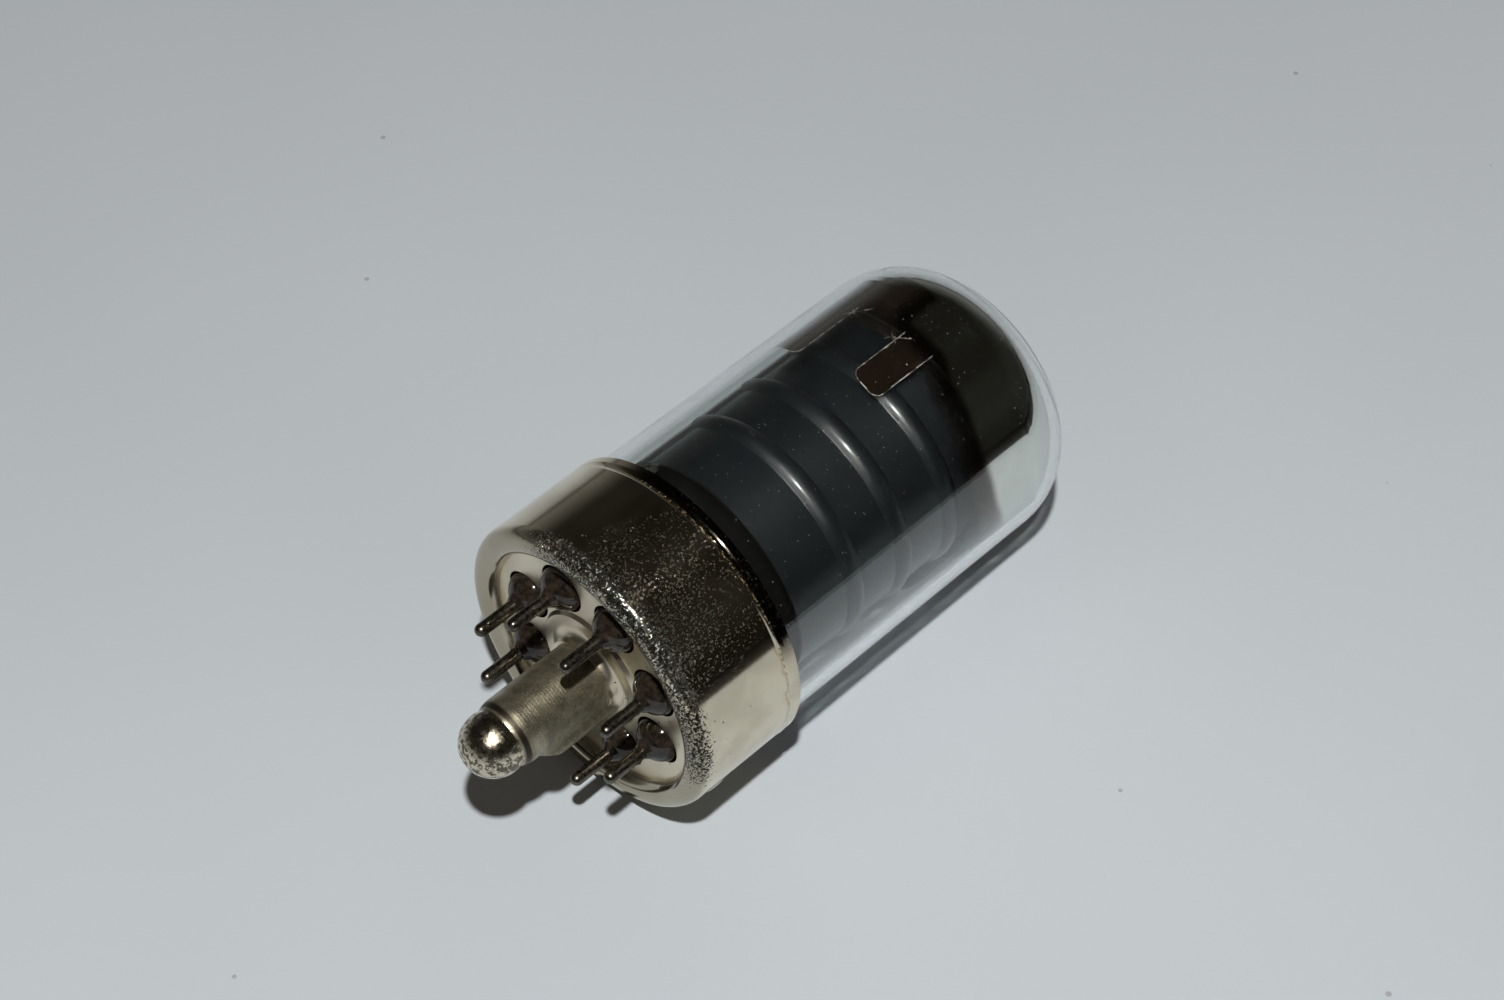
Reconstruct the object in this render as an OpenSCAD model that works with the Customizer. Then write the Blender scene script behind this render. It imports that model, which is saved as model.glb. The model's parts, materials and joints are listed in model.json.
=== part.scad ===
// Eight-pin glass pentode with a metal base shell, a keyed guide lug and an inner shield can.
// It lies on its side as in the picture. Lengths are in millimetres.
// In the modules the tube stands upright: its axis is Z, its seating plane is z = 0,
// the pins and the lug point down and the key of the lug points along +X.

/* [Base shell] */
// Outside diameter of the metal base shell
shell_d = 30.16; // [29.6:0.02:31]
// Height of the shell from the seating plane to its rim
shell_h = 12.4; // [11:0.1:14]
// Thickness of the drawn sheet metal
shell_t = 0.4; // [0.3:0.05:0.5]
// Width of the cement joint between the shell and the bulb
cement_gap = 0.38; // [0.2:0.02:0.6]
// Radius of the rounded bottom edge, which is the seating edge
crest_r = 1.43; // [1.2:0.01:1.6]
// Width of the floor between the pin holes and the wall of the recess
floor_margin = 0.99; // [0.7:0.01:1.2]
// Height of the recessed floor above the seating plane
recess_h = 1.35; // [1.2:0.05:1.4]
// Diameter of the round holes around the pins
pin_hole_d = 5; // [4.8:0.1:5.2]
// Width of the floor between the pin holes and the raised collar
collar_margin = 0.43; // [0.2:0.01:0.7]
// Width of the slope at the collar's edge
collar_slope = 0.3; // [0.1:0.05:0.5]
// Height that the collar stands out from the floor
collar_h = 0.35; // [0.2:0.05:0.5]
// Radius of the flare between the collar and the lug
flare_r = 1.1; // [0.8:0.05:1.2]
// Wall of the neck that grips the lug
neck_t = 0.35; // [0.25:0.05:0.45]
// Distance of the shallow rim groove below the rim
rim_groove_drop = 1.2; // [0.9:0.1:2]
// Depth of the rim groove
rim_groove_depth = 0.12; // [0.06:0.02:0.2]
// Height that the index nub stands out from the shell
nub_h = 0.7; // [0.4:0.05:1]
// Radius of the index nub's rounded form
nub_r = 1.5; // [1.2:0.05:1.8]
// Length of the straight middle of the index nub
nub_straight = 0.9; // [0.4:0.1:1.6]
// Height of the nub's middle above the seating plane
nub_z = 5.05; // [4.2:0.05:6]

/* [Guide lug] */
// Diameter of the lug's shaft
lug_d = 6.7; // [6.4:0.05:7]
// Length of the lug below the seating plane
lug_len = 13.7; // [13:0.1:14.4]
// Thickness of the lug's sheet metal
lug_t = 0.4; // [0.3:0.05:0.5]
// Width of the collar outside the flange that holds the lug
flange_margin = 0.6; // [0.3:0.05:0.8]
// Distance of the shoulder above the lug's tip
shoulder_rise = 5.3; // [5:0.1:5.6]
// Radius of the rounded shoulder above the neck groove
shoulder_r = 3.15; // [3:0.05:3.3]
// Radius of the lug at the bottom of its neck groove
groove_r = 2.62; // [2.4:0.02:2.8]
// Radius of the rounded head
head_r = 3.12; // [2.9:0.02:3.3]
// Radial reach of the key from the lug's axis
key_reach = 4.5; // [4.2:0.05:4.7]
// Radius of the key's rounded crest
key_crest_r = 1.25; // [1:0.05:1.4]
// Radius of the hollow between the key's flank and the shaft
key_fillet_r = 2; // [1.6:0.1:2.4]
// Length of the key's straight part below the seating plane
key_len = 5; // [4.4:0.1:5.4]
// Radius of the key's rounded lower end
key_end_r = 3.2; // [3:0.1:3.4]

/* [Pins] */
// Number of contact pins
pin_count = 8; // [8:1:8]
// Diameter of a pin
pin_d = 1.27; // [1.15:0.01:1.4]
// Length of a pin below the seating plane
pin_len = 5; // [4.5:0.1:5.6]
// Height of a pin's inner end above the seating plane
pin_top = 7; // [6.4:0.1:8]
// Diameter of a pin where the glass holds it
pin_seal_d = 1.2; // [1.1:0.02:1.24]

/* [Glass] */
// Height of the bulb's crown above the seating plane
bulb_top = 55; // [53.5:0.1:57]
// Wall of the bulb
glass_t = 1; // [0.8:0.05:1.2]
// Outside radius of the domed crown
crown_r = 19; // [18:0.5:22]
// Outside radius of the shoulder between the wall and the crown
dome_shoulder_r = 7.5; // [6.5:0.1:8.5]
// Width of the header outside its bosses
header_margin = 0.4; // [0.3:0.05:0.8]
// Thickness of the pressed header
header_t = 2.4; // [2:0.1:3]
// Radius of the glass boss around each pin
boss_r = 2.35; // [2.1:0.05:2.37]
// Distance that the bosses reach past the seating plane
boss_drop = 0.35; // [0.1:0.05:0.6]
// Radius of the sealed exhaust stub inside the lug
stub_r = 1.9; // [1.5:0.1:2.2]
// Length of the exhaust stub below the header
stub_len = 8; // [6:0.5:10]

/* [Shield can] */
// Distance between the shield can and the bulb
shield_gap = 1.6; // [1.3:0.05:1.9]
// Thickness of its sheet
shield_t = 0.25; // [0.2:0.05:0.35]
// Height of its lower edge above the seating plane
shield_z0 = 15.9; // [15:0.1:17]
// Height of its upper edge above the seating plane
shield_z1 = 40.5; // [40:0.1:42]
// Number of raised beads
bead_count = 3; // [1:1:3]
// Height of the lowest bead's middle above the seating plane
bead_z = 22.9; // [21:0.1:24]
// Distance between the beads
bead_pitch = 6.33; // [5.5:0.01:6.4]
// Height that a bead stands out from the can
bead_h = 0.45; // [0.3:0.05:0.5]
// Half width of a bead's rounded crest
bead_half_w = 1.05; // [0.8:0.05:1.2]
// Radius of the hollow on both sides of a bead
bead_fillet_r = 0.5; // [0.3:0.05:0.6]
// Angle of the plain lap seam seen from the axis
seam_angle = 34; // [24:1:40]
// Direction of the seam, counted from the key
seam_dir = 167; // [150:1:190]
// Distance of the mount's axis from the bulb's axis
mount_shift = 0.3; // [0:0.05:0.4]

/* [Electrodes] */
// Thickness of the mica discs
mica_t = 0.3; // [0.2:0.05:0.5]
// Height of the lower mica above the shield's lower edge
bottom_mica_rise = 1.1; // [0.8:0.1:2]
// Length of the posts below the lower mica
post_drop = 2; // [1.5:0.1:2.4]
// Length of the grid rods and of the cathode sleeve below the lower mica
rod_drop = 3.2; // [2.8:0.1:3.6]
// Length of the rods and posts above the upper mica
rod_rise = 0.8; // [0.5:0.1:1.2]
// Distance between the grid windings and the micas
wire_margin = 1.2; // [0.8:0.1:2]
// Length of a lead's welded end along the rod that it meets
weld_len = 0.5; // [0.3:0.05:0.8]
// Half width of the anode along its posts
anode_x = 5.9; // [5.6:0.05:6]
// Half width of the anode across its posts
anode_y = 4.4; // [4.1:0.05:4.8]
// Thickness of the anode sheet
anode_t = 0.2; // [0.15:0.05:0.3]
// Distance of an anode post from the axis
anode_post_x = 7.1; // [6.9:0.05:7.3]
// Distance between a shield post and the shield can
shield_post_gap = 0.1; // [0.05:0.05:0.4]
// Radius of the anode and shield posts
post_r = 0.5; // [0.4:0.05:0.55]
// Half width of the suppressor grid along its rods' line
suppressor_x = 4.9; // [4.7:0.05:5.1]
// Half width of the suppressor grid across it
suppressor_y = 3.4; // [3:0.1:3.7]
// Turns of the suppressor grid
suppressor_turns = 10; // [6:1:12]
// Half width of the screen grid along its rods' line
screen_x = 3.6; // [3.4:0.05:3.8]
// Half width of the screen grid across it
screen_y = 2.2; // [2:0.1:2.5]
// Turns of the screen grid
screen_turns = 18; // [12:1:20]
// Half width of the control grid along its rods' line
control_x = 2.3; // [2.2:0.05:2.4]
// Half width of the control grid across it
control_y = 1.2; // [1.1:0.05:1.4]
// Turns of the control grid
control_turns = 26; // [20:1:28]
// Wire radius of the suppressor grid
suppressor_wire_r = 0.07; // [0.05:0.01:0.08]
// Wire radius of the screen grid
screen_wire_r = 0.06; // [0.04:0.01:0.07]
// Wire radius of the control grid
control_wire_r = 0.05; // [0.04:0.01:0.06]
// Radius of a grid's side rods
rod_r = 0.3; // [0.25:0.01:0.35]
// Outside radius of the cathode sleeve
cathode_r = 0.65; // [0.6:0.01:0.7]
// Wall of the cathode sleeve
cathode_t = 0.1; // [0.06:0.01:0.12]
// Radius of the coated heater wire
heater_r = 0.2; // [0.15:0.01:0.22]
// Radius of the lead wires
lead_r = 0.3; // [0.25:0.01:0.35]
// Radius of the getter ring
getter_ring_r = 2.6; // [2:0.1:3]
// Radius of the getter's wire
getter_wire_r = 0.35; // [0.25:0.05:0.4]
// Height of the getter ring above the upper mica
getter_rise = 4; // [3:0.1:5]
// Distance of the getter's post from the axis
getter_post_y = 6; // [5.4:0.1:6.6]

/* [Resting place] */
// Angle between the key and the downward direction as the tube lies
rest_roll = 45; // [30:1:60]

/* [Hidden] */
$fn = 72;
fit_gap = 0.02;
weld_gap = 0.04;
slip_gap = 0.1;
cut = 1;
pin_r = pin_d/2;
pin_step = 360/pin_count;
pin_hole_r = pin_hole_d/2;
pin_seal_r = min(pin_seal_d/2, pin_r - fit_gap);
pin_seal_z = -boss_drop;
shell_r = shell_d/2;
shell_in_r = shell_r - shell_t;
crest_x = shell_r - crest_r;
pin_circle_r = crest_x - crest_r - floor_margin - pin_hole_r;
collar_r = pin_circle_r - pin_hole_r - collar_margin;
collar_z = recess_h - collar_h;
collar_top = collar_z + shell_t;
rim_groove_z = shell_h - rim_groove_drop;
lug_r = lug_d/2;
lug_flange_r = collar_r - flange_margin;
flange_top = collar_top + lug_t;
shoulder_z = shoulder_rise - lug_len;
head_z = head_r - lug_len;
key_x = key_reach - key_crest_r;
bulb_r = shell_in_r - cement_gap;
bulb_in_r = bulb_r - glass_t;
header_z0 = flange_top + slip_gap;
header_z1 = header_z0 + header_t;
header_r = pin_circle_r + boss_r + header_margin;
foot_r = bulb_r - header_r;
foot_z = header_z0 + foot_r;
stub_z = header_z0 - stub_len;
crown_z = bulb_top - crown_r;
dome_x = bulb_r - dome_shoulder_r;
dome_z = crown_z + sqrt((crown_r - dome_shoulder_r)^2 - dome_x^2);
boss_z = boss_r - boss_drop;
shield_r = bulb_in_r - shield_gap;
shield_in_r = shield_r - shield_t;
shield_h = shield_z1 - shield_z0;
lap_r = shield_r + shield_t;
lap_overlap = 1;
bead_arc_r = (bead_half_w^2 + bead_h^2)/(2*bead_h);
bead_x = shield_r + bead_h - bead_arc_r;
bead_root_r = shield_r - shield_t/2;
// A blend cuts a little into the face it runs out on, so that the two cross instead of only touching
blend_cut = 0.04;
fillet_x = shield_r + bead_fillet_r - blend_cut;
bead_reach = sqrt((bead_arc_r + bead_fillet_r)^2 - (fillet_x - bead_x)^2);
mount_dir = seam_dir;
bottom_mica_z = shield_z0 + bottom_mica_rise;
bottom_mica_top = bottom_mica_z + mica_t;
top_mica_z = shield_z1;
top_mica_top = top_mica_z + mica_t;
post_z = bottom_mica_z - post_drop;
rod_z = bottom_mica_z - rod_drop;
rod_top = top_mica_top + rod_rise;
wire_z0 = bottom_mica_top + wire_margin;
wire_z1 = top_mica_z - wire_margin;
lead_z = post_z + weld_len;
shield_post_x = shield_in_r - shield_post_gap - post_r;
heater_x = cathode_r - cathode_t - heater_r - fit_gap;
heater_z0 = rod_z - 2*weld_len;
heater_z1 = top_mica_z - cathode_r;
heater_lead_z = heater_z0 + weld_len;
getter_z = top_mica_top + getter_rise;
suppressor = 0;
screen = 1;
control = 2;
grid_size = [[suppressor_x, suppressor_y], [screen_x, screen_y], [control_x, control_y]];
grid_turns = [suppressor_turns, screen_turns, control_turns];
grid_wire_r = [suppressor_wire_r, screen_wire_r, control_wire_r];
grid_segments = 16;
grid_sides = 4;
rest_step = [shell_r - dome_x, dome_z - shell_h];
rest_tilt = atan(rest_step.x/rest_step.y) - asin(dome_shoulder_r/norm(rest_step));
rest_lift = shell_r*cos(rest_tilt) + shell_h*sin(rest_tilt);
rest_x = (crown_z*cos(rest_tilt) + crown_r + head_z*cos(rest_tilt) - head_r)/2;

// Lays the upright tube on its side, on its shell's rim and the shoulder of its dome
module laid() {
    translate([-rest_x, 0, rest_lift])
        rotate([0, 90 + rest_tilt, 0])
            rotate([0, 0, -rest_roll])
                children();
}

// Moves the upright mount to its own axis, a little beside the bulb's
module mounted() {
    rotate([0, 0, mount_dir])
        translate([mount_shift, 0, 0])
            rotate([0, 0, -mount_dir])
                children();
}

// A straight round wire from p to q
module wire(p, q, r) {
    v = q - p;
    translate(p)
        rotate([0, acos(v.z/norm(v)), atan2(v.y, v.x)])
            cylinder(r = r, h = norm(v), $fn = 24);
}

// Half section of the shell's outer form up to a height, or of its hollow when inset
module shell_section(inset, top) {
    translate([0, recess_h + inset])
        square([crest_x, top - recess_h - inset]);
    translate([0, crest_r])
        square([shell_r - inset, top - crest_r]);
    translate([crest_x, crest_r])
        circle(r = crest_r - inset);
    polygon([[0, collar_z + inset], [collar_r - inset, collar_z + inset],
        [collar_r + collar_slope - inset, recess_h + inset], [0, recess_h + inset]]);
}

// Flared neck of the shell around the lug, with its round flare cut out
module shell_neck_section() {
    neck_r = lug_r + neck_t;
    neck_z = collar_z - flare_r;
    difference() {
        translate([0, neck_z])
            square([neck_r + flare_r, flare_r + shell_t]);
        translate([neck_r + flare_r, neck_z])
            circle(r = flare_r);
    }
}

// Long rounded form of the index nub
module nub_form(r) {
    translate([shell_r + nub_h - nub_r, 0, nub_z - nub_straight/2]) {
        cylinder(r = r, h = nub_straight);
        sphere(r = r);
        translate([0, 0, nub_straight])
            sphere(r = r);
    }
}

module base_shell() {
    groove_r = 1;
    color([0.66, 0.64, 0.6])
    difference() {
        union() {
            rotate_extrude()
                union() {
                    difference() {
                        shell_section(0, shell_h);
                        shell_section(shell_t, shell_h + cut);
                        translate([shell_r + groove_r - rim_groove_depth, rim_groove_z])
                            circle(r = groove_r);
                    }
                    shell_neck_section();
                }
            nub_form(nub_r);
        }
        nub_form(nub_r - shell_t);
        translate([0, 0, crest_r])
            cylinder(r = shell_in_r, h = shell_h);
        for (k = [1:pin_count])
            rotate([0, 0, pin_step*(k - 0.5)])
                translate([pin_circle_r, 0, recess_h - cut])
                    cylinder(r = pin_hole_r, h = shell_t + 2*cut);
        translate([0, 0, -flare_r - cut])
            linear_extrude(height = flare_r + recess_h + shell_t + 2*cut)
                key_section(fit_gap);
    }
}

// Cross section of the lug with its key, grown by a clearance
module key_section(grow) {
    shaft_r = lug_r + grow;
    crest = key_crest_r + grow;
    hollow = key_fillet_r - grow;
    near = shaft_r + hollow;
    far = crest + hollow;
    a = acos((near^2 + key_x^2 - far^2)/(2*near*key_x));
    f = near*[cos(a), sin(a)];
    circle(r = shaft_r);
    translate([key_x, 0])
        circle(r = crest);
    difference() {
        polygon([[0, 0], [f.x, -f.y], [key_x, 0], [f.x, f.y]]);
        for (s = [-1, 1])
            translate([f.x, s*f.y])
                circle(r = hollow);
    }
}

// Half section of the lug below its root, inset by the sheet's thickness for its hollow
module lug_section(inset, top) {
    shoulder_x = lug_r - shoulder_r;
    translate([0, shoulder_z])
        square([lug_r - inset, top - shoulder_z]);
    intersection() {
        translate([shoulder_x, shoulder_z])
            circle(r = shoulder_r - inset);
        translate([0, -lug_len])
            square([lug_r, shoulder_rise]);
    }
    translate([0, head_z])
        square([groove_r - inset, shoulder_z - head_z]);
    intersection() {
        translate([0, head_z])
            circle(r = head_r - inset);
        translate([0, -lug_len])
            square([lug_r, lug_len]);
    }
}

module guide_lug() {
    key_end_x = key_reach - key_end_r;
    color([0.6, 0.57, 0.5])
    difference() {
        union() {
            rotate_extrude()
                lug_section(0, flange_top);
            translate([0, 0, collar_top])
                cylinder(r = lug_flange_r, h = lug_t);
            intersection() {
                translate([0, 0, -key_len - key_end_r])
                    linear_extrude(height = key_len + key_end_r + collar_top)
                        key_section(0);
                union() {
                    translate([0, -lug_r, -key_len])
                        cube([key_reach + cut, lug_d, key_len + flange_top]);
                    translate([key_end_x, lug_r, -key_len])
                        rotate([90, 0, 0])
                            cylinder(r = key_end_r, h = lug_d);
                }
            }
        }
        rotate_extrude()
            lug_section(lug_t, flange_top + cut);
        translate([key_x, 0, -key_len])
            cylinder(r = key_crest_r - lug_t, h = key_len + flange_top + cut);
    }
}

module shell_cement() {
    cement_h = 5;
    cement_drop = 0.15;
    color([0.62, 0.53, 0.36])
    translate([0, 0, shell_h - cement_drop - cement_h])
        difference() {
            cylinder(r = shell_in_r, h = cement_h);
            translate([0, 0, -cut])
                cylinder(r = bulb_r, h = cement_h + 2*cut);
        }
}

// Half section of the bulb's outer or inner skin
module bulb_section(inset, bottom) {
    translate([0, bottom])
        square([header_r, dome_z - bottom]);
    translate([0, foot_z])
        square([bulb_r - inset, dome_z - foot_z]);
    translate([header_r, foot_z])
        circle(r = foot_r - inset);
    translate([dome_x, dome_z])
        circle(r = dome_shoulder_r - inset);
    intersection() {
        translate([0, crown_z])
            circle(r = crown_r - inset);
        polygon([[0, crown_z], [0, bulb_top + 1],
            [dome_x*(bulb_top + 1 - crown_z)/(dome_z - crown_z), bulb_top + 1]]);
    }
}

module glass_bulb() {
    color([0.85, 0.92, 0.9, 0.3])
    difference() {
        rotate_extrude()
            intersection() {
                difference() {
                    bulb_section(0, header_z0);
                    bulb_section(glass_t, header_z0 + glass_t);
                }
                square([bulb_r + cut, bulb_top + cut]);
            }
        translate([0, 0, header_z0 - cut])
            cylinder(r = header_r, h = glass_t + 2*cut);
    }
}

module glass_header() {
    color([0.3, 0.32, 0.3, 0.7])
    difference() {
        union() {
            translate([0, 0, header_z0])
                cylinder(r = header_r, h = header_t);
            for (k = [1:pin_count])
                rotate([0, 0, pin_step*(k - 0.5)])
                    translate([pin_circle_r, 0, 0])
                        pin_boss();
            translate([0, 0, stub_z])
                cylinder(r = stub_r, h = stub_len + header_t/2);
            translate([0, 0, stub_z])
                sphere(r = stub_r);
        }
        for (k = [1:pin_count])
            rotate([0, 0, pin_step*(k - 0.5)])
                translate([pin_circle_r, 0, pin_seal_z]) {
                    cylinder(r = pin_seal_r, h = pin_top + header_z1);
                    translate([0, 0, -pin_len])
                        cylinder(r = pin_r, h = pin_len);
                }
        translate([0, 0, stub_z])
            cylinder(r = stub_r - glass_t, h = stub_len + header_t + cut);
    }
}

// Rounded glass boss under the header, with the low cones where the glass wets the pin
module pin_boss() {
    wet_tip = 0.1;
    wet_root = 0.8;
    cone_h = 1;
    translate([0, 0, boss_z])
        sphere(r = boss_r);
    translate([0, 0, pin_seal_z - cone_h/4])
        cylinder(r1 = pin_r + wet_tip, r2 = pin_r + wet_root, h = cone_h);
    translate([0, 0, header_z1 - cone_h/2])
        cylinder(r1 = pin_r + wet_root, r2 = pin_r + wet_tip, h = 1.5*cone_h);
}

// One pin with a rounded tip, a little thinner where it goes through the glass
module contact_pin(index) {
    color([0.3, 0.28, 0.25])
    rotate([0, 0, pin_step*(index - 0.5)])
        translate([pin_circle_r, 0, 0]) {
            translate([0, 0, pin_r - pin_len])
                sphere(r = pin_r);
            translate([0, 0, pin_r - pin_len])
                cylinder(r = pin_r, h = pin_len - pin_r + pin_seal_z);
            translate([0, 0, pin_seal_z])
                cylinder(r = pin_seal_r, h = pin_top - pin_seal_z);
        }
}

// Half section of one bead's outer form, from inside the can's wall, with its two fillets
module bead_section() {
    flank_y = bead_reach*(bead_root_r - bead_x)/(fillet_x - bead_x);
    intersection() {
        translate([bead_x, 0])
            circle(r = bead_arc_r);
        translate([bead_root_r, -bead_reach])
            square([shield_t + bead_h, 2*bead_reach]);
    }
    for (s = [-1, 1])
        difference() {
            polygon([[bead_root_r, s*flank_y], [bead_root_r, s*bead_reach], [fillet_x, s*bead_reach]]);
            translate([fillet_x, s*bead_reach])
                circle(r = bead_fillet_r);
        }
}

// Rounded end of a bead, which reaches a little into the bead
module bead_end(side) {
    intersection() {
        translate([bead_x, 0, 0])
            sphere(r = bead_arc_r);
        translate([bead_root_r, side*(bead_arc_r - fit_gap) - bead_arc_r, -bead_arc_r])
            cube([bead_arc_r, 2*bead_arc_r, 2*bead_arc_r]);
    }
}

module shield_can() {
    bead_angle = 360 - seam_angle;
    color([0.1, 0.11, 0.12])
    rotate([0, 0, seam_dir])
        difference() {
            union() {
                translate([0, 0, shield_z0])
                    cylinder(r = shield_r, h = shield_h);
                rotate([0, 0, -seam_angle/2])
                    rotate_extrude(angle = seam_angle)
                        translate([bead_root_r, shield_z0 + fit_gap])
                            square([lap_r - bead_root_r, shield_h - 2*fit_gap]);
                for (k = [0:bead_count - 1])
                    translate([0, 0, bead_z + k*bead_pitch]) {
                        rotate([0, 0, (seam_angle - lap_overlap)/2])
                            rotate_extrude(angle = bead_angle + lap_overlap)
                                bead_section();
                        for (side = [-1, 1])
                            rotate([0, 0, side*(seam_angle - lap_overlap)/2])
                                bead_end(-side);
                    }
            }
            translate([0, 0, shield_z0 - cut])
                cylinder(r = shield_in_r, h = shield_h + 2*cut);
            rotate([0, 0, seam_angle/2])
                for (k = [0:bead_count - 1])
                    translate([0, 0, bead_z + k*bead_pitch])
                        rotate_extrude(angle = bead_angle)
                            translate([bead_x, 0])
                                circle(r = bead_arc_r - shield_t);
        }
}

// One of the two rods that carry the shield can between the micas
module shield_post(side) {
    color([0.5, 0.5, 0.5])
    translate([side*shield_post_x, 0, post_z])
        cylinder(r = post_r, h = rod_top - post_z);
}

// Holes that the mount's rods, posts and sleeve need in a mica
module mica_holes() {
    for (s = [-1, 1]) {
        translate([s*shield_post_x, 0])
            circle(r = post_r + fit_gap);
        translate([s*anode_post_x, 0])
            circle(r = post_r + fit_gap);
        for (k = [suppressor, screen, control])
            translate([s*rod_x(k), 0])
                circle(r = rod_r + fit_gap);
    }
    circle(r = cathode_r + fit_gap);
}

module top_mica() {
    notch_r = lap_r + mount_shift + slip_gap;
    notches = [[191, 24], [235, 15], [11, 24], [55, 15]];
    color([0.75, 0.7, 0.6, 0.8])
    translate([0, 0, top_mica_z])
        linear_extrude(height = mica_t)
            difference() {
                circle(r = bulb_in_r - fit_gap);
                for (n = notches)
                    rotate(n[0])
                        translate([notch_r, -bulb_in_r*sin(n[1]/2)])
                            square([bulb_in_r, 2*bulb_in_r*sin(n[1]/2)]);
                rotate(mount_dir)
                    translate([mount_shift, 0])
                        rotate(-mount_dir) {
                            mica_holes();
                            translate([0, getter_post_y])
                                circle(r = getter_wire_r + fit_gap);
                        }
            }
}

module bottom_mica() {
    color([0.75, 0.7, 0.6, 0.8])
    translate([0, 0, bottom_mica_z])
        linear_extrude(height = mica_t)
            difference() {
                circle(r = shield_in_r - fit_gap);
                mica_holes();
            }
}

// Rounded rectangle given by its half widths
module soft_box(x, y, r) {
    square([2*x, 2*y - 2*r], center = true);
    square([2*x - 2*r, 2*y], center = true);
    for (sx = [-1, 1], sy = [-1, 1])
        translate([sx*(x - r), sy*(y - r)])
            circle(r = r);
}

module anode_plate() {
    corner_r = 2.4;
    anode_h = top_mica_z - bottom_mica_top - 2*slip_gap;
    loop_r = post_r + fit_gap;
    color([0.16, 0.16, 0.17])
    translate([0, 0, bottom_mica_top + slip_gap])
        linear_extrude(height = anode_h)
            difference() {
                union() {
                    soft_box(anode_x, anode_y, corner_r);
                    for (s = [-1, 1]) {
                        translate([s*(anode_x + anode_post_x)/2, 0])
                            square([anode_post_x - anode_x + 2*anode_t, 2*anode_t], center = true);
                        translate([s*anode_post_x, 0])
                            circle(r = loop_r + anode_t);
                    }
                }
                soft_box(anode_x - anode_t, anode_y - anode_t, corner_r - anode_t);
                for (s = [-1, 1])
                    translate([s*anode_post_x, 0])
                        circle(r = loop_r);
            }
}

module anode_post(side) {
    color([0.5, 0.5, 0.5])
    translate([side*anode_post_x, 0, post_z])
        cylinder(r = post_r, h = rod_top - post_z);
}

// Distance of a grid's side rods from the axis, just inside the winding that they carry
function rod_x(k) = grid_size[k].x - 2*grid_wire_r[k] - rod_r - weld_gap;

// Middle line of a flattened winding that climbs from z0 to z1
function winding_point(size, turns, z0, z1, t) =
    [size.x*cos(360*turns*t), size.y*sin(360*turns*t), z0 + (z1 - z0)*t];

// Corner k of the wire's section around the winding's middle line
function winding_corner(size, turns, z0, z1, r, t, k) =
    let (
        a = 360*turns*t,
        n = [size.y*cos(a), size.x*sin(a)]/norm([size.y*cos(a), size.x*sin(a)]),
        b = 360*k/grid_sides + 45
    )
    winding_point(size, turns, z0, z1, t) + r*[n.x*cos(b), n.y*cos(b), sin(b)];

// The wire of grid number g, wound around its two side rods
module grid_winding(g) {
    r = grid_wire_r[g];
    turns = grid_turns[g];
    middle = [grid_size[g].x - r, grid_size[g].y - r];
    steps = turns*grid_segments;
    last = steps*grid_sides;
    color([0.6, 0.58, 0.5])
    polyhedron(
        points = [for (i = [0:steps], k = [0:grid_sides - 1])
            winding_corner(middle, turns, wire_z0, wire_z1, r, i/steps, k)],
        faces = concat(
            [[for (k = [grid_sides - 1:-1:0]) k]],
            [for (i = [0:steps - 1], k = [0:grid_sides - 1])
                let (a = i*grid_sides + k, b = i*grid_sides + (k + 1)%grid_sides)
                [a, b, b + grid_sides, a + grid_sides]],
            [[for (k = [0:grid_sides - 1]) last + k]]));
}

// One of the two side rods of grid number g
module grid_rod(g, side) {
    color([0.55, 0.45, 0.35])
    translate([side*rod_x(g), 0, rod_z])
        cylinder(r = rod_r, h = rod_top - rod_z);
}

module cathode_sleeve() {
    color([0.8, 0.8, 0.78])
    translate([0, 0, rod_z])
        difference() {
            cylinder(r = cathode_r, h = rod_top - rod_z);
            translate([0, 0, -cut])
                cylinder(r = cathode_r - cathode_t, h = rod_top - rod_z + 2*cut);
        }
}

// Coated heater wire folded once inside the cathode sleeve
module heater() {
    color([0.9, 0.9, 0.88]) {
        for (s = [-1, 1])
            translate([s*heater_x, 0, heater_z0])
                cylinder(r = heater_r, h = heater_z1 - heater_z0, $fn = 24);
        translate([0, 0, heater_z1])
            rotate([90, 0, 0])
                rotate_extrude(angle = 180)
                    translate([heater_x, 0])
                        circle(r = heater_r, $fn = 24);
    }
}

module getter_ring() {
    color([0.5, 0.5, 0.48])
    translate([0, getter_post_y - getter_ring_r - 2*getter_wire_r, getter_z])
        rotate_extrude()
            translate([getter_ring_r, 0])
                circle(r = getter_wire_r);
}

module getter_post() {
    color([0.55, 0.55, 0.55])
    translate([0, getter_post_y, top_mica_z - rod_rise])
        cylinder(r = getter_wire_r, h = getter_z + getter_wire_r - top_mica_z + rod_rise);
}

// Lead from the inner end of pin number index to the place q under the mount
module lead(index, q) {
    a = pin_step*(index - 0.5);
    p = [pin_circle_r*cos(a), pin_circle_r*sin(a), pin_top + lead_r + fit_gap];
    color([0.6, 0.6, 0.58])
    wire(p, q, lead_r);
}

// Place beside a round rod of radius r that stands at x on the mount's line of rods
function beside(x, r, y_side, z) =
    let (m = mount_shift*[cos(mount_dir), sin(mount_dir)])
    [x + m.x, y_side*(r + lead_r + fit_gap) + m.y, z];

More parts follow.
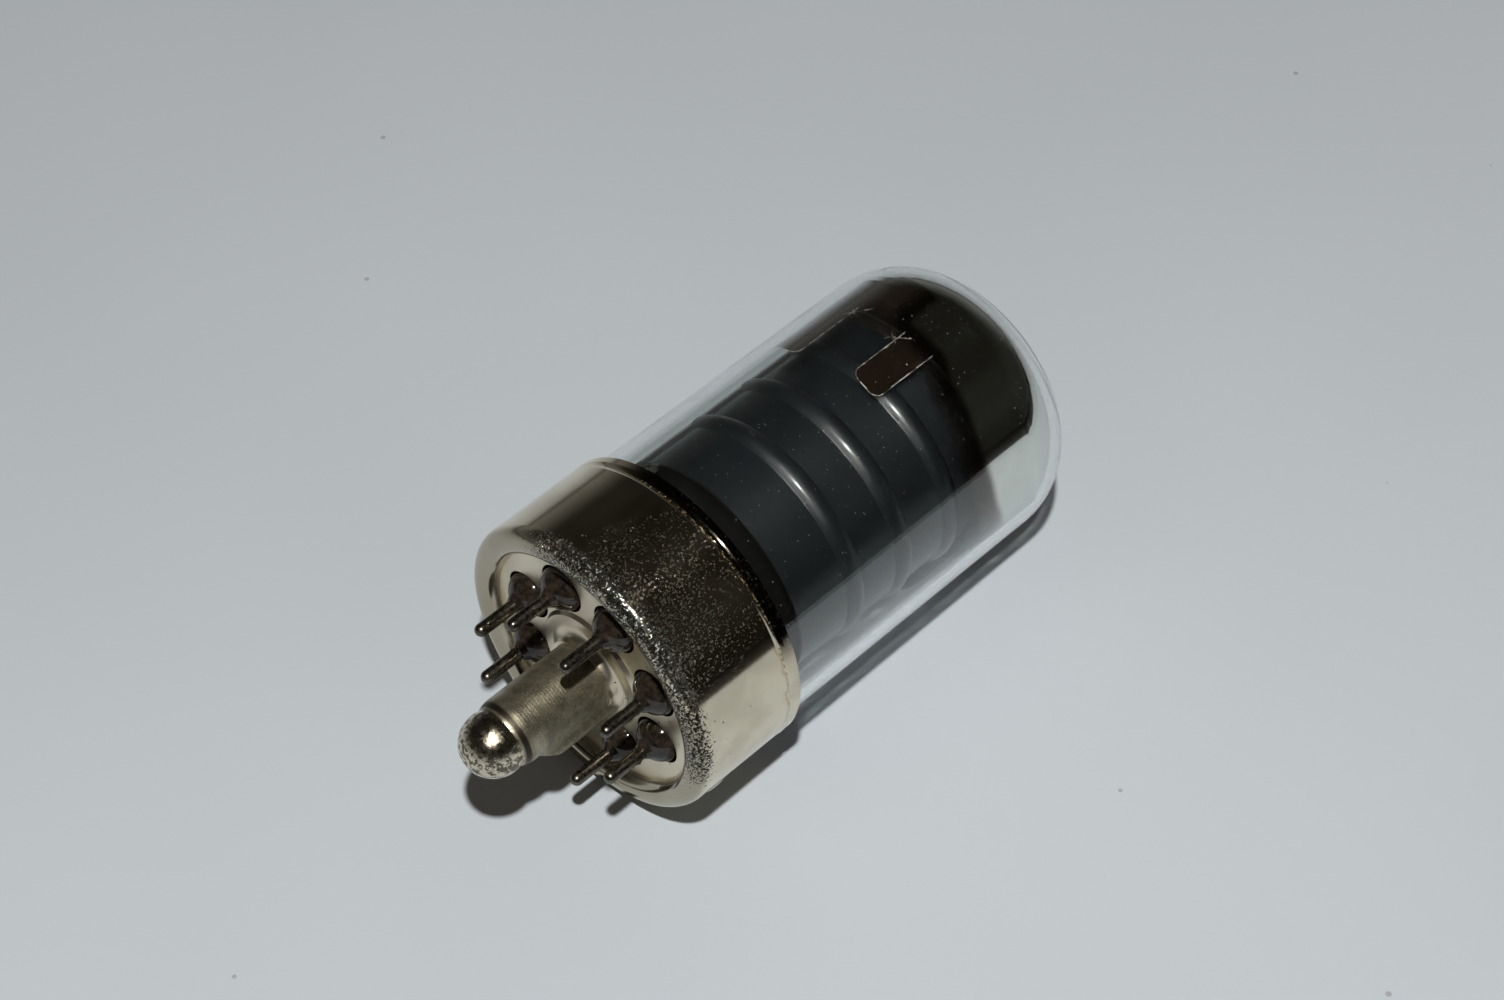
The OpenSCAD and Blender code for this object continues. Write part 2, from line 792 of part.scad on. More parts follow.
laid() base_shell();
laid() guide_lug();
laid() shell_cement();
laid() glass_bulb();
laid() glass_header();
laid() contact_pin(1);  // contact_pin_1
laid() contact_pin(2);  // contact_pin_2
laid() contact_pin(3);  // contact_pin_3
laid() contact_pin(4);  // contact_pin_4
laid() contact_pin(5);  // contact_pin_5
laid() contact_pin(6);  // contact_pin_6
laid() contact_pin(7);  // contact_pin_7
laid() contact_pin(8);  // contact_pin_8
laid() mounted() shield_can();
laid() mounted() shield_post(1);  // shield_post_1
laid() mounted() shield_post(-1);  // shield_post_2
laid() top_mica();
laid() mounted() bottom_mica();
laid() mounted() anode_plate();
laid() mounted() anode_post(1);  // anode_post_1
laid() mounted() anode_post(-1);  // anode_post_2
laid() mounted() grid_winding(suppressor);  // suppressor_grid_winding
laid() mounted() grid_rod(suppressor, 1);  // suppressor_grid_rod_1
laid() mounted() grid_rod(suppressor, -1);  // suppressor_grid_rod_2
laid() mounted() grid_winding(screen);  // screen_grid_winding
laid() mounted() grid_rod(screen, 1);  // screen_grid_rod_1
laid() mounted() grid_rod(screen, -1);  // screen_grid_rod_2
laid() mounted() grid_winding(control);  // control_grid_winding
laid() mounted() grid_rod(control, 1);  // control_grid_rod_1
laid() mounted() grid_rod(control, -1);  // control_grid_rod_2
laid() mounted() cathode_sleeve();
laid() mounted() heater();
laid() mounted() getter_ring();
laid() mounted() getter_post();
laid() lead(1, beside(rod_x(suppressor), rod_r, 1, lead_z));  // suppressor_grid_lead
laid() lead(2, beside(rod_x(screen), rod_r, 1, lead_z));  // screen_grid_lead
laid() lead(3, beside(0, cathode_r, 1, lead_z));  // cathode_lead
laid() lead(4, beside(-shield_post_x, post_r, 1, lead_z));  // shield_lead
laid() lead(5, beside(-rod_x(control), rod_r, -1, lead_z));  // control_grid_lead
laid() lead(6, beside(-heater_x, heater_r, -1, heater_lead_z));  // heater_lead_1
laid() lead(7, beside(heater_x, heater_r, -1, heater_lead_z));  // heater_lead_2
laid() lead(8, beside(anode_post_x, post_r, -1, lead_z));  // anode_lead
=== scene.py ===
import json
import math

import bpy
import bmesh
from mathutils import Matrix, Vector


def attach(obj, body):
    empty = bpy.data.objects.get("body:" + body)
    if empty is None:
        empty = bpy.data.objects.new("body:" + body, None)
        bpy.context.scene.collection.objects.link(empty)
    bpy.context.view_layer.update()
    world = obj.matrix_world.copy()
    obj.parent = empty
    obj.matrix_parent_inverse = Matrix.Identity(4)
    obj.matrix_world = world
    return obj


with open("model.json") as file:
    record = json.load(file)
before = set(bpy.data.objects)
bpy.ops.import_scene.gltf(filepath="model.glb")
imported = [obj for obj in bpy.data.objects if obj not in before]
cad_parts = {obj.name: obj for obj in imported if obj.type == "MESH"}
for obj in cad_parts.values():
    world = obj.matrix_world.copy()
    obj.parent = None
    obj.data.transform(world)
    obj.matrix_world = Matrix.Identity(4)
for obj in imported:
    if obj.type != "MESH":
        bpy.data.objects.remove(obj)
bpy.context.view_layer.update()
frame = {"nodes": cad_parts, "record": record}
NODES = frame["nodes"]
bpy.context.scene.view_settings.view_transform = "Standard"

# Lengths of the upright tube in millimetres: its axis is Z, its seating plane is z = 0
# and the key of the lug points along +X.
MM = 0.001
SHELL_R = 15.08
SHELL_H = 12.4
LUG_LEN = 13.7
HEAD_R = 3.12
BULB_R = 14.3
GLASS_T = 1.0
BULB_TOP = 55.0
CROWN_R = 19.0
DOME_SHOULDER_R = 7.5
REST_ROLL = 45.0

CROWN_Z = BULB_TOP - CROWN_R
DOME_X = BULB_R - DOME_SHOULDER_R
DOME_Z = CROWN_Z + math.sqrt((CROWN_R - DOME_SHOULDER_R) ** 2 - DOME_X ** 2)
HEAD_Z = -LUG_LEN + HEAD_R
REACH = math.hypot(SHELL_R - DOME_X, DOME_Z - SHELL_H)
TILT = math.atan((SHELL_R - DOME_X) / (DOME_Z - SHELL_H)) - math.asin(DOME_SHOULDER_R / REACH)
LIFT = SHELL_R * math.cos(TILT) + SHELL_H * math.sin(TILT)
REST_X = (CROWN_Z * math.cos(TILT) + CROWN_R + HEAD_Z * math.cos(TILT) - HEAD_R) / 2

# Moves the upright tube, in millimetres, to its place in the frame, in metres
PLACE = (
    Matrix.Translation((-REST_X * MM, 0, LIFT * MM))
    @ Matrix.Rotation(math.pi / 2 + TILT, 4, "Y")
    @ Matrix.Rotation(math.radians(-REST_ROLL), 4, "Z")
    @ Matrix.Scale(MM, 4)
)

# Angles read in the picture are counted from the side that faces the camera
KEY_ANGLE = 103.1

# The camera stands where the picture was taken from, and the lamp above it
CAMERA_PLACE = (-0.12907, -0.14132, 0.24504)
CAMERA_FORWARD = (0.44077, 0.47849, -0.75946)
CAMERA_UP = (0.55543, 0.51926, 0.64951)
CAMERA_LENS = 78.04
SENSOR_WIDTH = 36
LAMP_PLACE = (-0.14018, -0.16249, 0.47424)
LAMP_TARGET = (0, 0, 0.012)
LAMP_SIZE = 0.02
LAMP_POWER = 2.78
LAMP_COLOUR = (1.0, 0.97, 0.93)

# The room, as the tube reflects it, and the paper that it lies on; lengths in metres
ROOM_DARK = (0.009, 0.008, 0.006)
ROOM_DIM = (0.017, 0.017, 0.014)
ROOM_FAR = (0.15, 0.15, 0.14)
ROOM_SOFT = (0.080, 0.064, 0.053)
PAPER = (0.485, 0.527, 0.558)
PAPER_LOW = (0.462, 0.514, 0.560)
PAPER_HIGH = (0.500, 0.552, 0.600)
PAPER_SPECK = (0.20, 0.19, 0.17)
PAPER_NEAR_EDGE = -0.118
PAPER_EDGE_SOFT = 0.004
PAPER_SIDE = 2.5

# Sectors of the shell, by angle from the camera's side: the middle, how far the mark reaches
# fully to each side, and how far it reaches at all
FACE_SECTOR = (-2, 12, 40)
CREST_SECTOR = (8, 48, 75)
# Painted shade: in this sector, where the shell reflects the paper, the pits are coloured near-black
PIT_SHADE_SECTOR = (62, 30, 38)
# Painted shade: the rim's top edge is darkened in this sector, which faces the lamp, to hide its
# highlight
RIM_SHADE_SECTOR = (-5, 36, 50)
STAIN_SECTOR = (52, 20, 24)
BROWN_SECTOR = (45, 30, 60)
# Bands by height on the shell and the lug: bottom, top, softness
CREST_BAND = (-0.5, 1.6, 0.7)
WORN_EDGE_BAND = (-1.0, 0.9, 0.4)
STAIN_BAND = (10.85, 11.12, 0.10)
STAIN_WANDER = 2.2
GROOVE_BAND = (10.93, 11.22, 0.03)
# Painted shade in the groove between the lug's head and its shoulder
LUG_NECK_SHADE_BAND = (-9.5, -8.95, 0.12)
# A lighter, smoother band on the lug's shoulder, where the lamp's highlight falls
LUG_SHOULDER_BAND = (-8.6, -7.2, 0.35)
# Where a mark begins and where it is full, by radius or height
RECESS_R = (12.6, 12.2)
FACE_FADE_Z = (10.5, 1.5)
BROWN_FADE_Z = (9.0, 0.5)
RIM_SHADE_Z = (11.1, 11.3)
LUG_HEAD_Z = (-9.5, -9.9)
# Depths of the finest relief, in metres
PIT_DEPTH = 0.00003
LUG_GRAIN = 0.00005
METAL_GRAIN = 0.00003
COATING_GRAIN = 0.00002
GLASS_WAVE = 0.0005

# Tones of the shell: bare plate, stain, worn edge, groove, painted shade on the rim, pits (painted
# shade by the paper), brown dots and dust
NICKEL_LOW = (0.64, 0.57, 0.44)
NICKEL_HIGH = (0.76, 0.69, 0.54)
STAIN = (0.42, 0.27, 0.10)
WORN_EDGE = (0.30, 0.27, 0.20)
GROOVE_DIRT = (0.34, 0.23, 0.10)
# Painted shade on the rim's top edge, where it faces the lamp
RIM_SHADE = (0.030, 0.024, 0.017)
PIT_DARK = (0.012, 0.015, 0.013)
PIT_PALE = (0.20, 0.24, 0.21)
CREST_DARK = (0.008, 0.009, 0.008)
CREST_PALE = (0.66, 0.71, 0.68)
# Painted shade: the pits' colour where the shell reflects the paper
PIT_PAINTED_SHADE = (0.012, 0.009, 0.006)
BROWN_DOT = (0.09, 0.065, 0.04)
DUST = (0.36, 0.34, 0.29)

# Tones of the lug; its darkest one is both the head's spots and the painted shade in the groove below
# the head
LUG_LOW = (0.17, 0.155, 0.108)
LUG_HIGH = (0.37, 0.335, 0.245)
LUG_BLOTCH = (0.10, 0.095, 0.065)
LUG_SHOULDER_TONE = (0.52, 0.47, 0.36)
LUG_HEAD = (0.70, 0.63, 0.49)
# Dark spots on the head, and painted shade in the groove below it
LUG_SPOTS_AND_SHADE = (0.04, 0.034, 0.024)

# Glass, and a radius around the dome's pole within which its mesh has wrong smooth normals
GLASS_TINT = (0.95, 0.985, 0.98, 1)
GLASS_DUST = (0.55, 0.56, 0.55, 1)
SHADOW_FACING = (0.93, 0.95, 0.95)
SHADOW_EDGE = (0.25, 0.26, 0.26)
POLE_R = 1.0
LACQUER_ROUGH = 0.20

# The mirror: a film inside the dome. A tongue fell through each notch of the upper mica and is
# given by the angles of its sides and the height of its foot. Between the tongues the film ends
# in a soft edge, given by angles and heights.
FILM_R = BULB_R - GLASS_T - 0.015
FILM_T = 0.02
TONGUES = [(-77.9, -53.9, 32.9), (-29.4, -14.4, 33.6), (102.1, 126.1, 33.2), (150.6, 165.6, 33.9)]
TONGUE_CORNER = 1.1
SOFT_EDGE = [(-180, 39.0), (-90, 39.0), (-53, 39.4), (-14, 39.0), (0, 37.6), (30, 36.5), (48, 36.5),
             (70, 37.5), (180, 39.0)]
SOFT_WIDTH = 3.6
FOOT_WAVE = 0.25
FOOT_WAVES = 9
# The film is thin between these angles, up to this height
THIN_SIDE = (-110, -95, -45, -30)
THIN_TOP = 46.0
THIN_SOFT = 0.8
TONGUE_THICKNESS = 0.1
FILM_THIN = (0.070, 0.042, 0.028)
FILM_THICK = (0.93, 0.91, 0.86)
FILM_LINE = (0.34, 0.33, 0.30)
LINE_WIDTH = 0.16
LINE_TOP = 41.2
# Pale marks at the corners of two tongues: angle, height, rise per radian, half length in degrees
TAB_MARKS = [(-52.5, 40.5, 13.0, 4.0), (-54.0, 40.3, -9.0, 1.8),
             (-29.5, 40.0, 13.0, 4.0), (-30.5, 39.8, -9.0, 2.2)]
TAB_HALF_WIDTH = 0.08
FAR_AWAY = 9.0
FILM_STEP = 1.25
# Columns near a tongue's side, in degrees into the tongue, and the least gap to the even ones
SIDE_COLUMNS = (-0.1, 0.05, 0.6)
COLUMN_GAP = 0.4
WALL_CROWDING = 1.6
WALL_ROWS = 44
SHOULDER_ROWS = 26
CROWN_ROWS = 22
POLE_ANGLE = 89.2


def turn(angle):
    """Angle from the key, in degrees, of an angle counted from the camera's side."""
    return angle - KEY_ANGLE


def aim(obj, place, forward, up):
    """Points an object's -Z axis along forward, with its +Y axis towards up."""
    back = -Vector(forward).normalized()
    right = Vector(up).cross(back).normalized()
    top = back.cross(right)
    turned = Matrix((right, top, back)).transposed().to_4x4()
    obj.matrix_world = Matrix.Translation(place) @ turned


def make_camera():
    """The camera at the picture's place and angle."""
    data = bpy.data.cameras.new("camera")
    data.lens = CAMERA_LENS
    data.sensor_width = SENSOR_WIDTH
    data.clip_start = 0.01
    camera = bpy.data.objects.new("camera", data)
    bpy.context.scene.collection.objects.link(camera)
    aim(camera, CAMERA_PLACE, CAMERA_FORWARD, CAMERA_UP)
    bpy.context.scene.camera = camera


def make_lamp():
    """The only lamp, a small round one."""
    data = bpy.data.lights.new("flash", "AREA")
    data.shape = "DISK"
    data.size = LAMP_SIZE
    data.energy = LAMP_POWER
    data.color = LAMP_COLOUR
    lamp = bpy.data.objects.new("flash", data)
    bpy.context.scene.collection.objects.link(lamp)
    # Its light crosses the glass as a plain shadow ray, so refracted rays don't count it again
    lamp.visible_transmission = False
    aim(lamp, LAMP_PLACE, Vector(LAMP_TARGET) - Vector(LAMP_PLACE), (0, 0, 1))


class Nodes:
    """Small helper that adds nodes to a material's or world's tree."""

    def __init__(self, tree):
        self.tree = tree
        tree.nodes.clear()

    def add(self, kind, **values):
        """A new node with some of its properties set."""
        node = self.tree.nodes.new(kind)
        for name, value in values.items():
            setattr(node, name, value)
        return node

    def link(self, source, target):
        """A link between two sockets."""
        self.tree.links.new(source, target)

    def feed(self, socket, value):
        """Links a socket to another socket, or gives it a plain value."""
        if isinstance(value, bpy.types.NodeSocket):
            self.link(value, socket)
        else:
            socket.default_value = value

    def set(self, node, **values):
        """Feeds inputs by name, with _ for a space."""
        for name, value in values.items():
            self.feed(node.inputs[name.replace("_", " ")], value)
        return node

    def math(self, operation, a, b=0.5):
        """A Math node's result."""
        node = self.add("ShaderNodeMath", operation=operation)
        self.feed(node.inputs[0], a)
        self.feed(node.inputs[1], b)
        return node.outputs[0]

    def times(self, a, b):
        """a times b."""
        return self.math("MULTIPLY", a, b)

    def plus(self, a, b):
        """a plus b."""
        return self.math("ADD", a, b)

    def minus(self, a, b):
        """a minus b."""
        return self.math("SUBTRACT", a, b)

    def most(self, a, b):
        """The larger of a and b."""
        return self.math("MAXIMUM", a, b)

    def noise(self, vector, scale, detail=2.0, rough=0.5):
        """Noise from 0 to 1 with so many features a unit."""
        node = self.add("ShaderNodeTexNoise")
        self.set(node, Vector=vector, Scale=scale, Detail=detail, Roughness=rough)
        return node.outputs["Fac"]

    def step(self, value, low, high, to_low=0.0, to_high=1.0):
        """A smooth step from to_low at low to to_high at high."""
        node = self.add("ShaderNodeMapRange", interpolation_type="SMOOTHSTEP")
        self.set(node, Value=value, From_Min=low, From_Max=high, To_Min=to_low, To_Max=to_high)
        return node.outputs["Result"]

    def mix(self, factor, a, b):
        """Colour a at factor 0 and b at factor 1."""
        node = self.add("ShaderNodeMix", data_type="RGBA")
        self.feed(node.inputs[0], factor)
        for index, colour in ((6, a), (7, b)):
            plain = isinstance(colour, tuple)
            self.feed(node.inputs[index], (*colour, 1) if plain else colour)
        return node.outputs[2]

    def bump(self, height, strength, distance):
        """Normals bent by a height."""
        node = self.add("ShaderNodeBump")
        self.set(node, Height=height, Strength=strength, Distance=distance)
        return node.outputs["Normal"]

    def principled(self, **values):
        """A Principled shader's output."""
        node = self.add("ShaderNodeBsdfPrincipled")
        return self.set(node, **values).outputs[0]

    def blend(self, factor, a, b):
        """Shader a at factor 0 and b at factor 1."""
        node = self.add("ShaderNodeMixShader")
        for socket, value in zip(node.inputs, (factor, a, b)):
            self.feed(socket, value)
        return node.outputs[0]

    def output(self, shader):
        """Makes a shader the material's surface."""
        node = self.add("ShaderNodeOutputMaterial")
        self.link(shader, node.inputs["Surface"])


def was_reflected(n):
    """1 for a ray that has been reflected at least once on its way from the camera."""
    path = n.add("ShaderNodeLightPath")
    return n.math("GREATER_THAN", path.outputs["Glossy Depth"], 0.5)


def seen_straight(n):
    """1 for a ray that comes from the camera, directly or only through glass."""
    path = n.add("ShaderNodeLightPath")
    scattered = n.plus(path.outputs["Glossy Depth"], path.outputs["Diffuse Depth"])
    through = n.math("LESS_THAN", scattered, 0.5)
    through = n.times(through, path.outputs["Is Transmission Ray"])
    return n.most(path.outputs["Is Camera Ray"], through)


def make_world():
    """A dark room, lighter low down on its far side, softly lit for matte surfaces."""
    world = bpy.data.worlds.new("room")
    bpy.context.scene.world = world
    world.use_nodes = True
    n = Nodes(world.node_tree)
    coords = n.add("ShaderNodeTexCoord")
    split = n.add("ShaderNodeSeparateXYZ")
    n.link(coords.outputs["Generated"], split.inputs[0])
    low = n.step(split.outputs["Z"], -0.05, 0.40, 1.0, 0.0)
    far_side = n.step(split.outputs["Y"], -0.2, 0.3)
    dim = n.step(n.noise(coords.outputs["Generated"], 1.7), 0.38, 0.66)
    room = n.mix(dim, ROOM_DARK, ROOM_DIM)
    room = n.mix(n.times(low, far_side), room, ROOM_FAR)
    path = n.add("ShaderNodeLightPath")
    room = n.mix(path.outputs["Is Diffuse Ray"], room, ROOM_SOFT)
    background = n.add("ShaderNodeBackground")
    n.link(n.mix(seen_straight(n), room, PAPER), background.inputs["Color"])
    out = n.add("ShaderNodeOutputWorld")
    n.link(background.outputs[0], out.inputs["Surface"])


def make_floor():
    """The pale sheet; reflections find it dark beyond its near edge, where the room begins."""
    mesh = bpy.data.meshes.new("paper")
    side = PAPER_SIDE
    near = PAPER_NEAR_EDGE - side
    mesh.from_pydata([(-side, near, 0), (side, near, 0), (side, side, 0), (-side, side, 0)],
                     [], [(0, 1, 2, 3)])
    floor = bpy.data.objects.new("paper", mesh)
    bpy.context.scene.collection.objects.link(floor)
    material = bpy.data.materials.new("paper")
    material.use_nodes = True
    n = Nodes(material.node_tree)
    place = n.add("ShaderNodeTexCoord").outputs["Object"]
    grain = n.step(n.noise(place, 9000, 3), 0.3, 0.7, -0.15, 0.15)
    tone = n.plus(grain, n.step(n.noise(place, 12), 0.3, 0.7, 0.2, 0.8))
    specks = n.times(dots(n, place, 60, 0.0003, 0.10, dimensions="2D"), 0.5)
    colour = n.mix(specks, n.mix(tone, PAPER_LOW, PAPER_HIGH), PAPER_SPECK)
    split = n.add("ShaderNodeSeparateXYZ")
    n.link(place, split.inputs[0])
    beyond = n.step(split.outputs["Y"], PAPER_NEAR_EDGE, PAPER_NEAR_EDGE - PAPER_EDGE_SOFT)
    dark = n.times(beyond, was_reflected(n))
    n.output(n.principled(Base_Color=n.mix(dark, colour, ROOM_DARK), Roughness=0.9,
                          Specular_IOR_Level=0.2))
    mesh.materials.append(material)


def tube_group():
    """Turns object coordinates into the upright tube's: height, angle from the key, radius."""
    tree = bpy.data.node_groups.new("tube_coordinates", "ShaderNodeTree")
    for name in ("Vector", "Height", "Angle", "Radius"):
        kind = "NodeSocketVector" if name == "Vector" else "NodeSocketFloat"
        tree.interface.new_socket(name, in_out="OUTPUT", socket_type=kind)
    n = Nodes(tree)
    coords = n.add("ShaderNodeTexCoord")
    place, rotation, scale = PLACE.inverted().decompose()
    move = n.add("ShaderNodeMapping")
    n.set(move, Vector=coords.outputs["Object"], Location=place,
          Rotation=rotation.to_euler("XYZ"), Scale=scale)
    split = n.add("ShaderNodeSeparateXYZ")
    n.link(move.outputs[0], split.inputs[0])
    angle = n.math("ARCTAN2", split.outputs["Y"], split.outputs["X"])
    flat = n.add("ShaderNodeCombineXYZ")
    n.set(flat, X=split.outputs["X"], Y=split.outputs["Y"])
    radius = n.add("ShaderNodeVectorMath", operation="LENGTH")
    n.link(flat.outputs[0], radius.inputs[0])
    n.set(n.add("NodeGroupOutput"), Vector=move.outputs[0], Height=split.outputs["Z"],
          Angle=angle, Radius=radius.outputs["Value"])
    return tree


TUBE_SPACE = tube_group()


def new_material(name):
    """A material, its nodes, and the tube's coordinates in it."""
    material = bpy.data.materials.new(name)
    material.use_nodes = True
    n = Nodes(material.node_tree)
    space = n.add("ShaderNodeGroup", node_tree=TUBE_SPACE)
    return material, n, space.outputs


def near_angle(n, angle, middle, inner, outer):
    """1 within inner degrees of a middle counted from the camera's side, and 0 past outer."""
    close = n.math("COSINE", n.minus(angle, math.radians(turn(middle))))
    return n.step(close, math.cos(math.radians(outer)), math.cos(math.radians(inner)))


def dots(n, vector, scale, radius, share, density=1.0, dimensions="3D"):
    """1 on small round dots in a share of the cells of a pattern with so many cells a unit."""
    cells = n.add("ShaderNodeTexVoronoi", voronoi_dimensions=dimensions)
    n.set(cells, Vector=vector, Scale=scale)
    lots = n.add("ShaderNodeTexWhiteNoise", noise_dimensions="3D")
    n.link(cells.outputs["Position"], lots.inputs["Vector"])
    size = n.times(lots.outputs["Value"], radius * scale / share)
    near = n.math("LESS_THAN", cells.outputs["Distance"], size)
    chosen = n.math("LESS_THAN", lots.outputs["Value"], n.times(density, share))
    return n.times(near, chosen)


def band(n, value, low, high, soft):
    """1 between low and high, with soft edges."""
    return n.times(n.step(value, low - soft, low + soft),
                   n.step(value, high - soft, high + soft, 1.0, 0.0))


def nickel_pits(n, tube, outside):
    """How far a point is on the corroded crest of the bottom edge, and the pits, each 0 to 1."""
    v = tube["Vector"]
    z = tube["Height"]
    angle = tube["Angle"]
    face = n.times(near_angle(n, angle, *FACE_SECTOR), n.step(z, *FACE_FADE_Z, 0.40, 1.0))
    crest = n.times(band(n, z, *CREST_BAND), near_angle(n, angle, *CREST_SECTOR))
    patches = n.step(n.noise(v, 0.30, 5, 0.65), 0.36, 0.60, 0.35, 1.0)
    density = n.times(n.most(n.times(face, patches), crest), outside)
    flecked = n.plus(n.noise(v, 4.5, 3, 0.7), n.times(density, 0.10))
    flecked = n.plus(flecked, n.times(crest, 0.08))
    fine = n.times(n.step(flecked, 0.645, 0.685), n.step(density, 0.05, 0.35))
    coarse = dots(n, v, 2.7, 0.15, 0.4, density)
    grains = dots(n, v, 6.5, 0.10, 1.0, n.times(crest, 0.55))
    return crest, n.most(n.most(fine, coarse), n.times(grains, outside))


def pit_tone(n, tube, crest):
    """Colour of a pit: pale grains in the dark, brightest on the crest, and near-black as painted
    shade where the shell reflects the paper.
    """
    v = tube["Vector"]
    glitter = n.step(n.noise(v, 2.8, 2, 0.6), 0.57, 0.69)
    sparkle = n.step(n.noise(v, 3.4, 2, 0.6), 0.58, 0.64)
    tone = n.mix(crest, n.mix(glitter, PIT_DARK, PIT_PALE), n.mix(sparkle, CREST_DARK, CREST_PALE))
    # Painted shade: near-black pits where the shell reflects the paper
    return n.mix(near_angle(n, tube["Angle"], *PIT_SHADE_SECTOR), tone, PIT_PAINTED_SHADE)


def plate_tone(n, tube, outside, groove):
    """Colour of the plate between the pits."""
    v = tube["Vector"]
    z = tube["Height"]
    angle = tube["Angle"]
    # Painted shade: the rim's top edge goes dark where it faces the lamp, so it shows no highlight
    rim_shade = n.times(n.step(z, *RIM_SHADE_Z), near_angle(n, angle, *RIM_SHADE_SECTOR))
    rim_shade = n.times(rim_shade, n.step(n.noise(v, 3.0, 3), 0.62, 0.54, 0.8, 0.97))
    wander = n.times(n.minus(n.noise(v, 0.45, 3), 0.5), STAIN_WANDER)
    stain = band(n, n.plus(z, wander), *STAIN_BAND)
    stain = n.times(n.times(stain, near_angle(n, angle, *STAIN_SECTOR)), 0.45)
    height_band = n.times(band(n, z, *WORN_EDGE_BAND), outside)
    tone = n.mix(n.step(n.noise(v, 0.25), 0.35, 0.65), NICKEL_LOW, NICKEL_HIGH)
    tone = n.mix(stain, tone, STAIN)
    tone = n.mix(n.times(height_band, 0.7), tone, WORN_EDGE)
    tone = n.mix(groove, tone, GROOVE_DIRT)
    return n.mix(rim_shade, tone, RIM_SHADE)


def nickel():
    """Old nickel plate: corroded in specks on one side and along its bottom edge, with painted shade
    on the rim's top edge where it faces the lamp and on the pits by the paper.
    """
    material, n, tube = new_material("pitted_nickel")
    v = tube["Vector"]
    z = tube["Height"]
    inside = n.step(tube["Radius"], *RECESS_R)
    outside = n.minus(1.0, inside)
    crest, pits = nickel_pits(n, tube, outside)
    dust = dots(n, v, 1.1, 0.14, 0.14, outside)
    low = n.step(z, *BROWN_FADE_Z, 0.15, 1.0)
    brown = n.times(low, near_angle(n, tube["Angle"], *BROWN_SECTOR))
    brown_dots = dots(n, v, 2.1, 0.13, 0.35, brown)
    groove = n.times(band(n, z, *GROOVE_BAND), n.step(n.noise(v, 3.5, 4, 0.7), 0.56, 0.60))
    tone = n.mix(pits, plate_tone(n, tube, outside, groove), pit_tone(n, tube, crest))
    tone = n.mix(brown_dots, tone, BROWN_DOT)
    tone = n.mix(dust, tone, DUST)
    dull = n.most(n.most(pits, dust), n.most(brown_dots, groove))
    rough = n.step(n.noise(v, 9.0), 0.35, 0.75, 0.09, 0.14)
    rough = n.plus(rough, n.times(inside, 0.20))
    rough = n.plus(rough, n.times(dull, 0.20))
    n.output(n.principled(Base_Color=tone, Roughness=rough, Metallic=n.step(dull, 0.0, 1.0, 1.0, 0.8),
                          Normal=n.bump(n.minus(1.0, dull), 0.6, PIT_DEPTH)))
    return material


def lug_metal():
    """Satin nickel with a fine grain, painted shade in its groove, and a polished spotted head."""
    material, n, tube = new_material("satin_nickel")
    v = tube["Vector"]
    z = tube["Height"]
    grain = n.noise(v, 8.0, 4, 0.7)
    head = n.step(z, *LUG_HEAD_Z)
    spots = n.step(n.noise(v, 1.7, 6, 0.75), 0.48, 0.53)
    blotches = n.step(n.noise(v, 0.8, 5, 0.7), 0.42, 0.60)
    rings = n.math("SINE", n.times(z, 21.0))
    # Painted shade: a dark band in the groove below the head
    neck_shade = band(n, z, *LUG_NECK_SHADE_BAND)
    # The shoulder band: lighter in tone and smoother, to give the shoulder a highlight
    height_band = band(n, z, *LUG_SHOULDER_BAND)
    spotting = n.times(n.times(spots, head), 0.85)
    tone = n.mix(n.step(grain, 0.3, 0.7), LUG_LOW, LUG_HIGH)
    tone = n.mix(n.times(blotches, 0.5), tone, LUG_BLOTCH)
    tone = n.mix(n.times(height_band, 0.35), tone, LUG_SHOULDER_TONE)
    tone = n.mix(head, tone, LUG_HEAD)
    tone = n.mix(n.most(spotting, neck_shade), tone, LUG_SPOTS_AND_SHADE)
    rough = n.step(grain, 0.3, 0.7, 0.34, 0.46)
    rough = n.minus(rough, n.times(height_band, 0.12))
    rough = n.minus(rough, n.times(head, 0.30))
    rough = n.plus(rough, n.times(spotting, 0.25))
    relief = n.plus(grain, n.times(rings, 0.10))
    n.output(n.principled(Base_Color=tone, Roughness=rough, Metallic=n.step(head, 0.0, 1.0, 0.86, 1.0),
                          Normal=n.bump(relief, 0.5, LUG_GRAIN)))
    return material


def metal(name, low, high, rough):
    """Plain metal whose tone and gloss vary a little."""
    material, n, tube = new_material(name)
    wave = n.noise(tube["Vector"], 3.0, 4, 0.6)
    n.output(n.principled(Base_Color=n.mix(n.step(wave, 0.3, 0.7), low, high),
                          Roughness=n.step(wave, 0.3, 0.7, rough, rough + 0.12), Metallic=1.0,
                          Normal=n.bump(wave, 0.2, METAL_GRAIN)))
    return material


def coated(name, low, high, rough, scale=6.0, spread=0.08, gloss=0.5, lacquer=0.0):
    """Matte or half-gloss coating with a fine grain, and a layer of lacquer where given."""
    material, n, tube = new_material(name)
    wave = n.noise(tube["Vector"], scale, 5, 0.65)
    n.output(n.principled(Base_Color=n.mix(n.step(wave, 0.3, 0.7), low, high),
                          Roughness=n.step(wave, 0.3, 0.7, rough, rough + spread),
                          Normal=n.bump(wave, 0.12, COATING_GRAIN), Specular_IOR_Level=gloss,
                          Coat_Weight=lacquer, Coat_Roughness=LACQUER_ROUGH))
    return material


